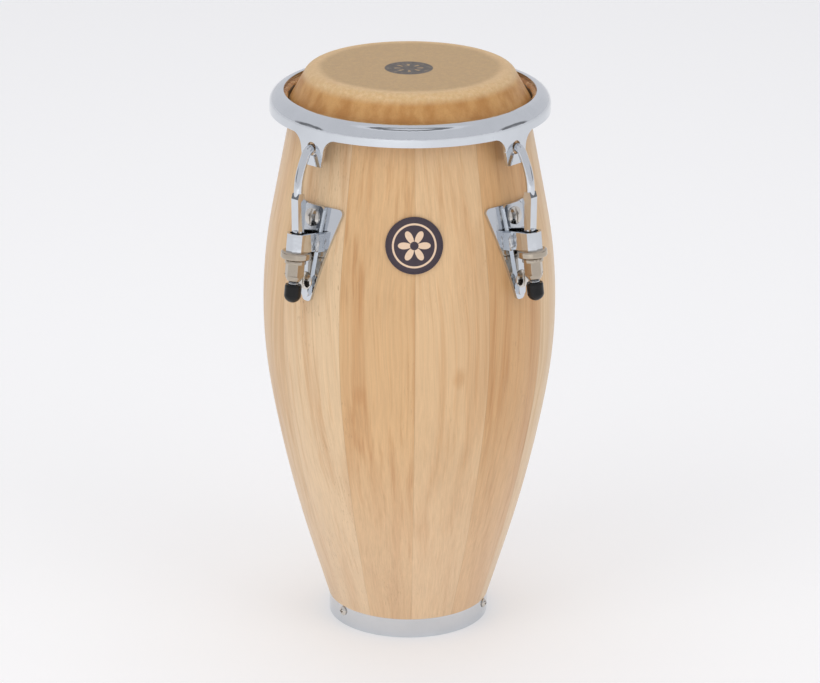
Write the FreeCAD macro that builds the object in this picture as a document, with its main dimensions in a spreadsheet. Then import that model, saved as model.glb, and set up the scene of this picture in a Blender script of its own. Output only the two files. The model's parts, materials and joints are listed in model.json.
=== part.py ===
import FreeCAD, Part
import math
import os
import Sketcher

# A small tunable conga: twelve glued staves, a rawhide head held by a flesh hoop and a chrome
# rim, four tension hooks, and a chrome ring round the foot. Millimetres, +Z up, and the origin
# is at the centre of the foot. Azimuth 0 faces -Y, and positive azimuths turn towards +X.

DIMENSIONS = [
    ("base_radius", 36.65, "shell outline carried down to the floor"),
    ("lower_angle", 17.0, "lean of the straight lower staves, degrees"),
    ("lower_height", 37.0, "where the lower straight ends"),
    ("waist_arc", 655.0, "radius of the gentle lower curve"),
    ("waist_height", 120.0, "where the gentle curve ends"),
    ("belly_arc", 255.0, "radius of the belly curve"),
    ("belly_height", 211.0, "where the belly curve ends"),
    ("stave_wall", 8.0, "thickness of a stave"),
    ("bore_top", 277.0, "height where the bearing edge's inner bevel starts"),
    ("head_height", 280.0, "playing surface above the floor"),
    ("skin_thickness", 0.8, ""),
    ("head_flat", 45.8, "radius of the flat playing area"),
    ("head_round", 5.6, "radius of the head's rounded edge"),
    ("collar_angle", 29.4, "lean of the skin's collar from vertical, degrees"),
    ("hoop_height", 264.17, "centre of the flesh hoop's wire"),
    ("hoop_wire", 2.6, "radius of the flesh hoop's wire"),
    ("rim_roll_radius", 61.13, "centre of the rim's rolled top"),
    ("rim_roll_height", 262.93, ""),
    ("rim_roll", 6.27, "outer radius of the rolled top"),
    ("rim_wall", 1.6, ""),
    ("rim_lip_angle", 95.8, "where the roll ends at the inner lip, degrees"),
    ("rim_skirt", 259.6, "lower edge of the skirt"),
    ("ear_radius", 68.0, "outer face of an ear at its foot"),
    ("ear_foot", 245.8, "lowest edge of an ear"),
    ("ear_half", 5.8, "half width of an ear at its foot"),
    ("ear_waist", 7.0, "half width of an ear under its fillets"),
    ("ear_waist_height", 252.5, ""),
    ("ear_fillet", 7.4, "radius from the ear to the skirt"),
    ("slot_foot", 250.7, ""),
    ("slot_top", 257.2, ""),
    ("slot_half", 2.7, ""),
    ("lug_radius", 79.0, "tension rod's axis at lug_height"),
    ("lug_height", 200.0, ""),
    ("lug_tilt", 7.5, "lean of the tension rod from vertical, degrees"),
    ("plate_top", 27.8, "side plate's upper edge along the rod from lug_height"),
    ("plate_tip", -18.8, ""),
    ("plate_half", 16.3, "half width of the upper edge"),
    ("plate_tip_half", 2.3, ""),
    ("plate_corner", 2.1, ""),
    ("plate_sheet", 1.4, ""),
    ("land_rise", 1.4, "raised middle of the plate above its sheet"),
    ("land_half", 6.4, ""),
    ("land_tip_half", 2.0, ""),
    ("land_tip", -16.7, ""),
    ("strap_foot", 6.4, "lower end of the rod strap along the rod"),
    ("strap_height", 8.5, ""),
    ("strap_outer", 5.0, "rod axis to the strap's outer faces"),
    ("strap_wall", 1.3, ""),
    ("strap_wing", 7.0, "half width of the strap's welded wings"),
    ("wing_rise", 3.9, "top of the wings above the shell"),
    ("rod_radius", 2.1, ""),
    ("thread_radius", 2.4, ""),
    ("rod_foot", -16.4, "lower end of the threaded rod"),
    ("thread_top", 16.0, ""),
    ("knee_radius", 76.65, "the hook's leg where it meets the shank, from the drum's axis"),
    ("knee_level", 234.0, ""),
    ("knee_overlap", 3.0, "length of the leg's foot inside the shank"),
    ("leg_lean", 26.0, "lean of the hook's outer leg from vertical, degrees"),
    ("bend_radius", 4.4, "centre line of the hook's bend"),
    ("bend_centre", 67.6, "distance of the bend from the drum's axis"),
    ("bend_height", 249.6, ""),
    ("hook_tip", 245.4, ""),
    ("bar_width", 4.4, "flat shank above the thread"),
    ("bar_foot", 13.6, ""),
    ("bar_foot_half", 1.7, ""),
    ("bar_outer", 4.25, "outer corner of the shank, from the rod's axis"),
    ("bar_corner", 31.5, "height of the outer corner along the rod"),
    ("bar_inner", -1.4, "inner edge of the shank where it turns towards the hook"),
    ("bar_turn", 30.0, ""),
    ("bar_top", 34.2, ""),
    ("bar_top_inner", 0.3, ""),
    ("bar_top_outer", 3.65, ""),
    ("washer_radius", 7.2, ""),
    ("washer_height", 3.7, ""),
    ("washer_bore", 2.7, ""),
    ("washer_round", 1.0, ""),
    ("nut_flats", 8.0, "across flats"),
    ("nut_height", 11.0, ""),
    ("nut_collar", 5.0, ""),
    ("nut_collar_height", 1.7, ""),
    ("nut_seat", 4.2, "radius that bears on the washer"),
    ("nut_seat_height", 0.6, ""),
    ("nut_cone", 2.8, "height of the tapered lower end"),
    ("nut_foot", 2.95, "radius of the tapered lower end"),
    ("nut_bore", 2.5, ""),
    ("cap_top", -9.8, ""),
    ("cap_foot", -18.6, ""),
    ("cap_radius", 4.0, ""),
    ("cap_mouth", 3.7, ""),
    ("upper_screw_height", 220.0, ""),
    ("lower_screw_height", 190.0, ""),
    ("plate_screw", 2.0, "shank radius"),
    ("plate_screw_head", 4.3, ""),
    ("plate_screw_head_height", 1.6, ""),
    ("inner_gap", 0.2, "flat washer to the hollow's curved wall"),
    ("flat_washer", 4.5, ""),
    ("flat_washer_height", 0.8, ""),
    ("inner_nut_flats", 7.0, ""),
    ("inner_nut_height", 3.2, ""),
    ("screw_beyond", 1.0, "shank past the inner nut"),
    ("foot_ring_radius", 39.4, ""),
    ("foot_ring_height", 9.9, ""),
    ("foot_ring_wall", 1.2, ""),
    ("foot_screw_height", 7.2, ""),
    ("foot_screw_head", 2.4, "radius"),
    ("foot_screw_head_height", 1.6, ""),
    ("foot_screw", 1.3, ""),
    ("foot_screw_length", 8.0, ""),
    ("foot_screw_tip", 2.0, ""),
    ("badge_height", 212.0, ""),
    ("badge_radius", 13.5, ""),
    ("badge_sheet", 0.8, ""),
    ("badge_border", 0.7, ""),
    ("badge_border_rise", 0.25, ""),
]

STAVES = 12
LUG_AZIMUTHS = (45.0, 135.0, 225.0, 315.0)
FOOT_SCREW_AZIMUTHS = (69.0, 186.0, 303.5)
BADGE_AZIMUTH = -0.4
STAVE_ANGLE = 360.0 / STAVES
HOOP_WRAP = (320.0, 60.0, 150.0)  # angles round the hoop's wire where the tucked skin is drawn

doc = FreeCAD.newDocument("conga")
sheet = doc.addObject("Spreadsheet::Sheet", "Dims")
NODES = []


# ---- sizes that remember the cells they come from -------------------------------------------

class Size:
    """A number together with the spreadsheet expression that gives it."""

    def __init__(self, value, text):
        self.value = value
        self.text = text

    def __add__(self, other):
        return join(self, other, "+", self.value + number(other))

    def __radd__(self, other):
        return join(other, self, "+", number(other) + self.value)

    def __sub__(self, other):
        return join(self, other, "-", self.value - number(other))

    def __rsub__(self, other):
        return join(other, self, "-", number(other) - self.value)

    def __mul__(self, other):
        return join(self, other, "*", self.value * number(other))

    def __rmul__(self, other):
        return join(other, self, "*", number(other) * self.value)

    def __truediv__(self, other):
        return join(self, other, "/", self.value / number(other))

    def __neg__(self):
        return Size(-self.value, f"(0 - {self.text})")


def number(size):
    return size.value if isinstance(size, Size) else float(size)


def text(size):
    return size.text if isinstance(size, Size) else repr(float(size))


def join(first, second, sign, value):
    return Size(value, f"({text(first)} {sign} {text(second)})")


def sine(angle):
    return Size(math.sin(math.radians(angle.value)), f"sin({angle.text})")


def cosine(angle):
    return Size(math.cos(math.radians(angle.value)), f"cos({angle.text})")


def root(size):
    return Size(math.sqrt(size.value), f"sqrt({size.text})")


def fill_sheet():
    """Write the driving dimensions as plain numbers and return them as sizes by name."""
    sizes = {}
    for row, (alias, value, note) in enumerate(DIMENSIONS, start=1):
        sheet.set(f"A{row}", alias)
        sheet.set(f"B{row}", str(value))
        sheet.set(f"C{row}", note)
        sheet.setAlias(f"B{row}", alias)
        sizes[alias] = Size(value, f"Dims.{alias}")
    doc.recompute()
    return sizes


S = fill_sheet()


# ---- small helpers --------------------------------------------------------------------------

def new_body(name):
    return doc.addObject("PartDesign::Body", name)


def origin_plane(body, role):
    return next(item for item in body.Origin.OriginFeatures if item.Role == role)


def new_sketch(body, name, role="XZ_Plane"):
    sketch = body.newObject("Sketcher::SketchObject", name)
    sketch.AttachmentSupport = [(origin_plane(body, role), "")]
    sketch.MapMode = "FlatFace"
    return sketch


def pin(sketch, edge, end, x, y):
    """Hold an edge's end at x and y from the sketch's origin."""
    for kind, axis, size in (("DistanceX", -2, x), ("DistanceY", -1, y)):
        if abs(number(size)) < 1e-9:
            sketch.addConstraint(Sketcher.Constraint("PointOnObject", edge, end, axis))
            continue
        index = sketch.addConstraint(Sketcher.Constraint(kind, -1, 1, edge, end, number(size)))
        if isinstance(size, Size):
            sketch.setExpression(f"Constraints[{index}]", size.text)


def arc_edge(start, end, radius):
    """An arc from start to end that turns left if radius is positive, and is under half a turn."""
    chord = end - start
    middle = (start + end) * 0.5
    left = FreeCAD.Vector(-chord.y, chord.x, 0).normalize()
    rise = math.sqrt(max(radius * radius - chord.Length ** 2 / 4.0, 0.0))
    centre = middle + left * math.copysign(rise, radius)
    first, last = (start, end) if radius > 0 else (end, start)
    begin = math.atan2(first.y - centre.y, first.x - centre.x)
    finish = math.atan2(last.y - centre.y, last.x - centre.x)
    circle = Part.Circle(centre, FreeCAD.Vector(0, 0, 1), abs(radius))
    return Part.ArcOfCircle(circle, begin, finish)


def draw(sketch, corners, closed=True):
    """Draw lines and arcs through corners (x, y) or (x, y, radius of the arc that ends there)."""
    points = [FreeCAD.Vector(number(c[0]), number(c[1]), 0) for c in corners]
    ends = []
    for i in range(0 if closed else 1, len(corners)):
        start, end = points[i - 1], points[i]
        if len(corners[i]) == 2:
            edge = sketch.addGeometry(Part.LineSegment(start, end))
            ends.append((edge, 1, 2))
            continue
        radius = corners[i][2]
        edge = sketch.addGeometry(arc_edge(start, end, number(radius)))
        index = sketch.addConstraint(Sketcher.Constraint("Radius", edge, abs(number(radius))))
        if isinstance(radius, Size):
            positive = radius if radius.value > 0 else -radius
            sketch.setExpression(f"Constraints[{index}]", positive.text)
        ends.append((edge, 1, 2) if number(radius) > 0 else (edge, 2, 1))
    for i, (edge, first, _) in enumerate(ends):
        if closed or i > 0:
            before, _, last = ends[i - 1]
            sketch.addConstraint(Sketcher.Constraint("Coincident", before, last, edge, first))
    for corner, (edge, _, last) in zip(corners if closed else corners[1:], ends):
        pin(sketch, edge, last, corner[0], corner[1])
    if not closed:
        pin(sketch, ends[0][0], ends[0][1], corners[0][0], corners[0][1])


def revolve(body, name, corners, angle=360.0):
    """Turn a closed outline (radius, height) about Z, half of the angle each way from +X."""
    sketch = new_sketch(body, name + "_outline")
    draw(sketch, corners)
    turn = body.newObject("PartDesign::Revolution", name)
    turn.Profile = sketch
    turn.ReferenceAxis = (sketch, ["V_Axis"])
    turn.Angle = angle
    turn.Midplane = True
    return turn


def revolve_along_x(body, name, corners):
    """Turn a closed outline (height along X, radius) about X."""
    sketch = new_sketch(body, name + "_outline")
    draw(sketch, corners)
    turn = body.newObject("PartDesign::Revolution", name)
    turn.Profile = sketch
    turn.ReferenceAxis = (sketch, ["H_Axis"])
    turn.Angle = 360.0
    return turn


def pad(body, name, role, corners, length, symmetric=True):
    sketch = new_sketch(body, name + "_outline", role)
    draw(sketch, corners)
    block = body.newObject("PartDesign::Pad", name)
    block.Profile = sketch
    block.Midplane = symmetric
    block.setExpression("Length", text(length))
    return block


def bar(name, radius, length, placement):
    """A Part cylinder whose axis is the placement's X, centred on it."""
    rod = doc.addObject("Part::Cylinder", name)
    rod.setExpression("Radius", text(radius))
    rod.setExpression("Height", text(length))
    along_x = FreeCAD.Rotation(FreeCAD.Vector(0, 1, 0), 90)
    half = FreeCAD.Vector(-number(length) / 2.0, 0, 0)
    rod.Placement = placement * FreeCAD.Placement(half, along_x)
    return rod


def cut(name, base, *tools):
    """Base less every tool."""
    for i, tool in enumerate(tools, start=1):
        result = doc.addObject("Part::Cut", name if i == len(tools) else f"{name}_cut_{i}")
        result.Base = base
        result.Tool = tool
        base = result
    return base


def common(name, first, second):
    result = doc.addObject("Part::Common", name)
    result.Base = first
    result.Tool = second
    return result


def fuse(name, parts):
    result = doc.addObject("Part::MultiFuse", name)
    result.Shapes = parts
    return result


def turned(azimuth):
    """Placement that carries the +X side of a piece to an azimuth."""
    return FreeCAD.Placement(FreeCAD.Vector(), FreeCAD.Rotation(FreeCAD.Vector(0, 0, 1), azimuth - 90))


def lug_frame():
    """At a lug on +X: X leaves the shell, Z runs up the tension rod."""
    at = FreeCAD.Vector(number(S["lug_radius"]), 0, number(S["lug_height"]))
    lean = FreeCAD.Rotation(FreeCAD.Vector(0, 1, 0), -number(S["lug_tilt"]))
    return FreeCAD.Placement(at, lean)


def keep(piece, label):
    """Mark an object as a sub-part, to be written under its label."""
    piece.Label = label
    NODES.append(piece)
    return piece


# ---- the shell's outline --------------------------------------------------------------------

def shell_curve(offset):
    """Corners of the shell's outer outline moved outwards by offset, and its upper lean."""
    sin_low, cos_low = sine(S["lower_angle"]), cosine(S["lower_angle"])
    low = S["base_radius"] + sin_low / cos_low * S["lower_height"]
    sin_waist = sin_low - (S["waist_height"] - S["lower_height"]) / S["waist_arc"]
    cos_waist = root(1 - sin_waist * sin_waist)
    waist = low + S["waist_arc"] * (cos_waist - cos_low)
    sin_top = sin_waist - (S["belly_height"] - S["waist_height"]) / S["belly_arc"]
    cos_top = root(1 - sin_top * sin_top)
    belly = waist + S["belly_arc"] * (cos_top - cos_waist)
    corners = [
        (low + cos_low * offset, S["lower_height"] - sin_low * offset),
        (waist + cos_waist * offset, S["waist_height"] - sin_waist * offset),
        (belly + cos_top * offset, S["belly_height"] - sin_top * offset),
    ]
    return corners, (sin_low / cos_low, sin_top / cos_top), (sin_waist, cos_waist, waist)


def radius_below(offset, height):
    """Radius of the moved outline on its straight lower part."""
    corners, (slope, _), _ = shell_curve(offset)
    return corners[0][0] + slope * (height - corners[0][1])


def radius_above(offset, height):
    """Radius of the moved outline on its straight upper part."""
    corners, (_, slope), _ = shell_curve(offset)
    return corners[2][0] + slope * (height - corners[2][1])


def on_shell(height, offset):
    """Frame on the shell's outer face at +X: X is the outward normal, moved out by offset."""
    _, _, (sin_waist, cos_waist, waist) = shell_curve(0)
    rise = min(number(height), number(S["belly_height"])) - number(S["waist_height"])
    sin_here = sin_waist.value - rise / number(S["belly_arc"])
    cos_here = math.sqrt(1 - sin_here ** 2)
    radius = waist.value + number(S["belly_arc"]) * (cos_here - cos_waist.value)
    over = max(number(height) - number(S["belly_height"]), 0.0)
    radius += sin_here / cos_here * over
    at = FreeCAD.Vector(radius + offset * cos_here, 0, number(height) - offset * sin_here)
    lean = math.degrees(math.asin(sin_here))
    return FreeCAD.Placement(at, FreeCAD.Rotation(FreeCAD.Vector(0, 1, 0), lean))


def shell_layer(name, outer_offset):
    """A sleeve on the upper shell, from its outer face out to outer_offset."""
    inner, _, _ = shell_curve(0)
    outer, _, _ = shell_curve(outer_offset)
    top = S["belly_height"] + 30
    body = new_body(name)
    revolve(body, name + "_turn", [
        (inner[1][0], inner[1][1], -S["belly_arc"]),
        outer[1],
        (outer[2][0], outer[2][1], S["belly_arc"] + outer_offset),
        (radius_above(outer_offset, top), top),
        (radius_above(0, top), top),
        inner[2],
    ])
    return body


# ---- head geometry --------------------------------------------------------------------------

def collar_start():
    """Where the head's rounded edge runs into the straight collar, on the outer side."""
    radius = S["head_flat"] + S["head_round"] * cosine(S["collar_angle"])
    height = S["head_height"] - S["head_round"] * (1 - sine(S["collar_angle"]))
    return radius, height


def hoop_centre():
    """Radius of the flesh hoop, which lies against the collar's outer side."""
    radius, height = collar_start()
    normal_out, normal_up = cosine(S["collar_angle"]), sine(S["collar_angle"])
    reach = normal_out * radius + normal_up * height + S["hoop_wire"]
    return (reach - normal_up * S["hoop_height"]) / normal_out


def bearing_edge():
    """Outer corners of the staves' top: under the collar, then round to the flat."""
    start_radius, start_height = collar_start()
    normal_out, normal_up = cosine(S["collar_angle"]), sine(S["collar_angle"])
    radius = start_radius - normal_out * S["skin_thickness"]
    height = start_height - normal_up * S["skin_thickness"]
    slope = normal_up / normal_out
    corners, (_, lean), _ = shell_curve(0)
    face_radius, face_height = corners[2]
    drop = (radius + slope * height - face_radius + lean * face_height) / (lean + slope)
    foot = (face_radius + lean * (drop - face_height), drop)
    return foot, (radius, height)


# ---- wooden shell ---------------------------------------------------------------------------

def stave_blank(name):
    """One stave on +X, with the rebate for the foot ring and its share of the bearing edge."""
    outer, _, _ = shell_curve(0)
    inner, _, _ = shell_curve(-S["stave_wall"])
    seat = S["foot_ring_radius"] - S["foot_ring_wall"]
    foot, shoulder = bearing_edge()
    round_inside = S["head_round"] - S["skin_thickness"]
    body = new_body(name)
    revolve(body, name + "_turn", [
        (radius_below(-S["stave_wall"], 0), 0),
        (seat, 0),
        (seat, S["foot_ring_height"]),
        (radius_below(0, S["foot_ring_height"]), S["foot_ring_height"]),
        outer[0],
        (outer[1][0], outer[1][1], S["waist_arc"]),
        (outer[2][0], outer[2][1], S["belly_arc"]),
        foot,
        shoulder,
        (S["head_flat"], S["head_height"] - S["skin_thickness"], round_inside),
        (radius_above(-S["stave_wall"], S["bore_top"]), S["bore_top"]),
        inner[2],
        (inner[1][0], inner[1][1], S["stave_wall"] - S["belly_arc"]),
        (inner[0][0], inner[0][1], S["stave_wall"] - S["waist_arc"]),
    ], STAVE_ANGLE)
    return body


def screw_hole(name, height):
    """Hole through the shell and side plate for a screw, at a lug on +X."""
    middle = on_shell(height, -number(S["stave_wall"]) / 2.0)
    return bar(name, S["plate_screw"], S["stave_wall"] * 3, middle)


def stave(index):
    """Stave index, from 1, with any screw holes that fall in it."""
    azimuth = STAVE_ANGLE * (index - 0.5)
    name = f"stave_{index:02d}"
    blank = stave_blank(name + "_blank")
    tools = []
    if azimuth in LUG_AZIMUTHS:
        tools.append(screw_hole(name + "_upper_hole", S["upper_screw_height"]))
        tools.append(screw_hole(name + "_lower_hole", S["lower_screw_height"]))
    for screw_azimuth in FOOT_SCREW_AZIMUTHS:
        if abs(screw_azimuth - azimuth) < STAVE_ANGLE / 2.0:
            tools.append(foot_screw_shank(name + "_pilot", screw_azimuth - azimuth + 90))
    piece = cut(name, blank, *tools)
    piece.Placement = turned(azimuth)
    return keep(piece, name)


# ---- screws ---------------------------------------------------------------------------------

def screw(name, length, shank, head, head_height, point, placement):
    """A pan head screw along X: the underside of its head at 0, and its end at -length."""
    side = head_height * 0.3
    rise = head_height - side
    dome = (head * head + rise * rise) / (rise * 2)
    body = new_body(name)
    revolve_along_x(body, name + "_turn", [
        (-length, 0),
        (head_height, 0),
        (side, head, dome),
        (0, head),
        (0, shank),
        (point - length, shank),
    ])
    body.Placement = placement
    return body


def blade(name, wide, tall, head_height, placement):
    """A driver slot's blade, sunk into a screw head along X by 0.6 of its height."""
    box = doc.addObject("Part::Box", name)
    box.setExpression("Length", text(head_height))
    box.setExpression("Width", text(wide))
    box.setExpression("Height", text(tall))
    corner = FreeCAD.Vector(number(head_height) * 0.4, -number(wide) / 2.0, -number(tall) / 2.0)
    box.Placement = placement * FreeCAD.Placement(corner, FreeCAD.Rotation())
    return box


def group(label, pieces):
    """Identical loose fasteners in one sub-part."""
    bundle = doc.addObject("Part::Compound", label)
    bundle.Links = pieces
    return keep(bundle, label)


def foot_screw_frame(azimuth):
    at = FreeCAD.Vector(number(S["foot_ring_radius"]), 0, number(S["foot_screw_height"]))
    return turned(azimuth) * FreeCAD.Placement(at, FreeCAD.Rotation())


def foot_screw_shank(name, azimuth):
    """The hole that a foot ring screw fills."""
    length, shank = S["foot_screw_length"], S["foot_screw"]
    body = new_body(name)
    revolve_along_x(body, name + "_turn", [
        (-length, 0), (0.2, 0), (0.2, shank), (S["foot_screw_tip"] - length, shank)])
    body.Placement = foot_screw_frame(azimuth)
    return body


def foot_ring():
    """Chrome band in the staves' rebate, and the three screws that hold it."""
    outer = S["foot_ring_radius"]
    inner = outer - S["foot_ring_wall"]
    band = new_body("foot_ring_band")
    revolve(band, "foot_ring_turn", [
        (inner, 0), (outer, 0), (outer, S["foot_ring_height"]), (inner, S["foot_ring_height"])])
    holes = []
    screws = []
    for count, azimuth in enumerate(FOOT_SCREW_AZIMUTHS, start=1):
        name = f"foot_screw_{count}"
        frame = foot_screw_frame(azimuth)
        tall = S["foot_screw_head_height"]
        across = S["foot_screw_head"]
        holes.append(foot_screw_shank(name + "_hole", azimuth))
        solid = screw(name + "_solid", S["foot_screw_length"], S["foot_screw"], across, tall,
                      S["foot_screw_tip"], frame)
        screws.append(cut(name, solid,
                          blade(name + "_level", across, across * 0.24, tall, frame),
                          blade(name + "_upright", across * 0.24, across, tall, frame)))
    keep(cut("foot_ring", band, *holes), "foot_ring")
    group("foot_ring_screws", screws)


# ---- head -----------------------------------------------------------------------------------

def around_hoop(radius, angle):
    """A point at an angle, in degrees, round the flesh hoop's wire."""
    across, up = math.cos(math.radians(angle)), math.sin(math.radians(angle))
    return hoop_centre() + radius * across, S["hoop_height"] + radius * up


def head_skin():
    """Rawhide: flat, over the bearing edge, down the collar and right round the flesh hoop."""
    thick = S["skin_thickness"]
    wire = S["hoop_wire"]
    wrap = wire + thick
    out, up = cosine(S["collar_angle"]), sine(S["collar_angle"])
    start = collar_start()
    _, shoulder = bearing_edge()
    inner_round = S["head_round"] - thick
    inside = [(*around_hoop(wire, angle), wire) for angle in HOOP_WRAP]
    outside = [(*around_hoop(wrap, angle), -wrap) for angle in reversed(HOOP_WRAP)]
    body = new_body("head_skin_body")
    revolve(body, "head_skin_turn", [
        (0, S["head_height"]),
        (S["head_flat"], S["head_height"]),
        (start[0], start[1], -S["head_round"]),
        (hoop_centre() - wire * out, S["hoop_height"] - wire * up),
        *inside,
        outside[0][:2],
        *outside[1:],
        (hoop_centre() - wrap * out, S["hoop_height"] - wrap * up, -wrap),
        shoulder,
        (S["head_flat"], S["head_height"] - thick, inner_round),
        (0, S["head_height"] - thick),
    ])
    keep(body, "head_skin")


def flesh_hoop():
    hoop = doc.addObject("Part::Torus", "flesh_hoop_wire")
    hoop.setExpression("Radius1", hoop_centre().text)
    hoop.setExpression("Radius2", S["hoop_wire"].text)
    hoop.setExpression("Placement.Base.z", S["hoop_height"].text)
    keep(hoop, "flesh_hoop")


def rim_ring():
    """The rolled top and skirt, without ears."""
    lip = S["rim_lip_angle"]
    inner = S["rim_roll"] - S["rim_wall"]
    body = new_body("rim_ring")
    revolve(body, "rim_ring_turn", [
        (S["rim_roll_radius"] + inner, S["rim_skirt"]),
        (S["rim_roll_radius"] + S["rim_roll"], S["rim_skirt"]),
        (S["rim_roll_radius"] + S["rim_roll"], S["rim_roll_height"]),
        (S["rim_roll_radius"] + S["rim_roll"] * cosine(lip),
         S["rim_roll_height"] + S["rim_roll"] * sine(lip), S["rim_roll"]),
        (S["rim_roll_radius"] + inner * cosine(lip), S["rim_roll_height"] + inner * sine(lip)),
        (S["rim_roll_radius"] + inner, S["rim_roll_height"], -inner),
    ])
    return body


def rim_ear(name, azimuth):
    """One ear with its hook slot: a bent tongue cut from a slightly flared sleeve."""
    outer = S["rim_roll_radius"] + S["rim_roll"]
    sleeve = new_body(name + "_sleeve")
    revolve(sleeve, name + "_sleeve_turn", [
        (S["ear_radius"] - S["rim_wall"], S["ear_foot"]),
        (S["ear_radius"], S["ear_foot"]),
        (outer, S["rim_roll_height"]),
        (outer - S["rim_wall"], S["rim_roll_height"]),
    ])
    side, waist, fillet = S["ear_half"], S["ear_waist"], S["ear_fillet"]
    level = S["ear_waist_height"]
    tongue = new_body(name + "_tongue")
    block = pad(tongue, name + "_tongue_pad", "YZ_Plane", [
        (-side, S["ear_foot"]),
        (side, S["ear_foot"]),
        (waist, level),
        (waist + fillet, level + fillet, -fillet),
        (waist + fillet, S["rim_roll_height"]),
        (-waist - fillet, S["rim_roll_height"]),
        (-waist - fillet, level + fillet),
        (-waist, level, -fillet),
    ], S["ear_radius"] / 4)
    half = S["slot_half"]
    draw(block.Profile[0], [
        (-half, S["slot_foot"]),
        (half, S["slot_foot"]),
        (half, S["slot_top"] - half),
        (0, S["slot_top"], half),
        (-half, S["slot_top"] - half, half),
    ])
    tongue.Placement = FreeCAD.Placement(FreeCAD.Vector(number(outer), 0, 0), FreeCAD.Rotation())
    ear = common(name, sleeve, tongue)
    ear.Placement = turned(azimuth)
    return ear


def rim():
    ears = [rim_ear(f"rim_ear_{i}", azimuth) for i, azimuth in enumerate(LUG_AZIMUTHS, start=1)]
    keep(fuse("rim_with_ears", [rim_ring()] + ears), "rim")


# ---- lugs -----------------------------------------------------------------------------------

def lug_prism(name, corners, round_radius):
    """A block along the lug's X with its upright corners rounded."""
    body = new_body(name)
    block = pad(body, name + "_pad", "YZ_Plane", corners, S["lug_radius"])
    doc.recompute()
    edges = [f"Edge{i}" for i, edge in enumerate(block.Shape.Edges, start=1)
             if abs(edge.tangentAt(edge.FirstParameter).x) > 0.99]
    rounding = body.newObject("PartDesign::Fillet", name + "_round")
    rounding.Base = (block, edges)
    rounding.setExpression("Radius", text(round_radius))
    body.Placement = lug_frame()
    return body


def shell_core():
    """Everything inside the shell's outer face at the lugs."""
    corners, _, _ = shell_curve(0)
    top = S["belly_height"] + 30
    body = new_body("shell_core")
    revolve(body, "shell_core_turn", [
        (0, S["waist_height"]),
        corners[1],
        (corners[2][0], corners[2][1], S["belly_arc"]),
        (radius_above(0, top), top),
        (0, top),
    ])
    return body


def side_plate(name):
    """Triangular plate that follows the shell, with a raised middle and two screw holes."""
    top, tip = S["plate_top"], S["plate_tip"]
    half, tip_half = S["plate_half"], S["plate_tip_half"]
    outline = [(-half, top), (-tip_half, tip), (tip_half, tip), (half, top)]
    flat = common(name + "_sheet", shell_layer(name + "_sheet_layer", S["plate_sheet"]),
                  lug_prism(name + "_outline", outline, S["plate_corner"]))
    wide, low, narrow = S["land_half"], S["land_tip"], S["land_tip_half"]
    middle = [(-wide, top), (-narrow, low), (narrow, low), (wide, top)]
    raised = common(name + "_land",
                    shell_layer(name + "_land_layer", S["plate_sheet"] + S["land_rise"]),
                    lug_prism(name + "_land_outline", middle, S["plate_corner"] * 0.8))
    whole = fuse(name + "_blank", [flat, raised])
    return cut(name, whole, screw_hole(name + "_upper", S["upper_screw_height"]),
               screw_hole(name + "_lower", S["lower_screw_height"]))


def strap(name, plate, core):
    """Faceted strap round the tension rod, with two wings that lie on the side plate."""
    outer = S["strap_outer"]
    inner = outer - S["strap_wall"]
    facet = math.tan(math.radians(22.5))
    back = -S["strap_outer"] * 2.7
    wing = S["wing_rise"] - (S["lug_radius"] - shell_radius_at_strap())
    reach = S["strap_wing"]
    right = [
        (back, -reach), (back, -inner), (inner * facet, -inner), (inner, -inner * facet),
        (inner, inner * facet), (inner * facet, inner), (back, inner), (back, reach),
        (wing, reach), (wing, outer), (outer * facet, outer), (outer, outer * facet),
        (outer, -outer * facet), (outer * facet, -outer), (wing, -outer), (wing, -reach),
    ]
    body = new_body(name + "_blank")
    pad(body, name + "_pad", "XY_Plane", right, S["strap_height"], symmetric=False)
    lift = FreeCAD.Vector(0, 0, number(S["strap_foot"]))
    body.Placement = lug_frame() * FreeCAD.Placement(lift, FreeCAD.Rotation())
    return cut(name, body, core, plate)


def shell_radius_at_strap():
    """Shell's outer radius beside the strap, measured square to the tension rod."""
    level = S["lug_height"] + S["strap_foot"]
    out = shell_curve(0)[0][2]
    lean = shell_curve(0)[1][1]
    return out[0] + lean * (level - out[1]) + S["strap_foot"] * sine(S["lug_tilt"])


def hook_points():
    """Centre line of the hook in the drum's upright plane: tip, bend, leg and knee."""
    lean, stand = sine(S["leg_lean"]), cosine(S["leg_lean"])
    centre, level, bend = S["bend_centre"], S["bend_height"], S["bend_radius"]
    knee, knee_level = S["knee_radius"], S["knee_level"]
    reach = (knee - centre) * stand
    bow = (bend - reach + (level - knee_level) * lean) / (1 - stand)
    return [
        (centre - bend, S["hook_tip"]),
        (centre - bend, level),
        (centre + bend * stand, level + bend * lean, -bend),
        (knee - bow * (1 - stand), knee_level + bow * lean),
        (knee, knee_level, -bow),
        (knee, knee_level - S["knee_overlap"]),
    ]


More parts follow.
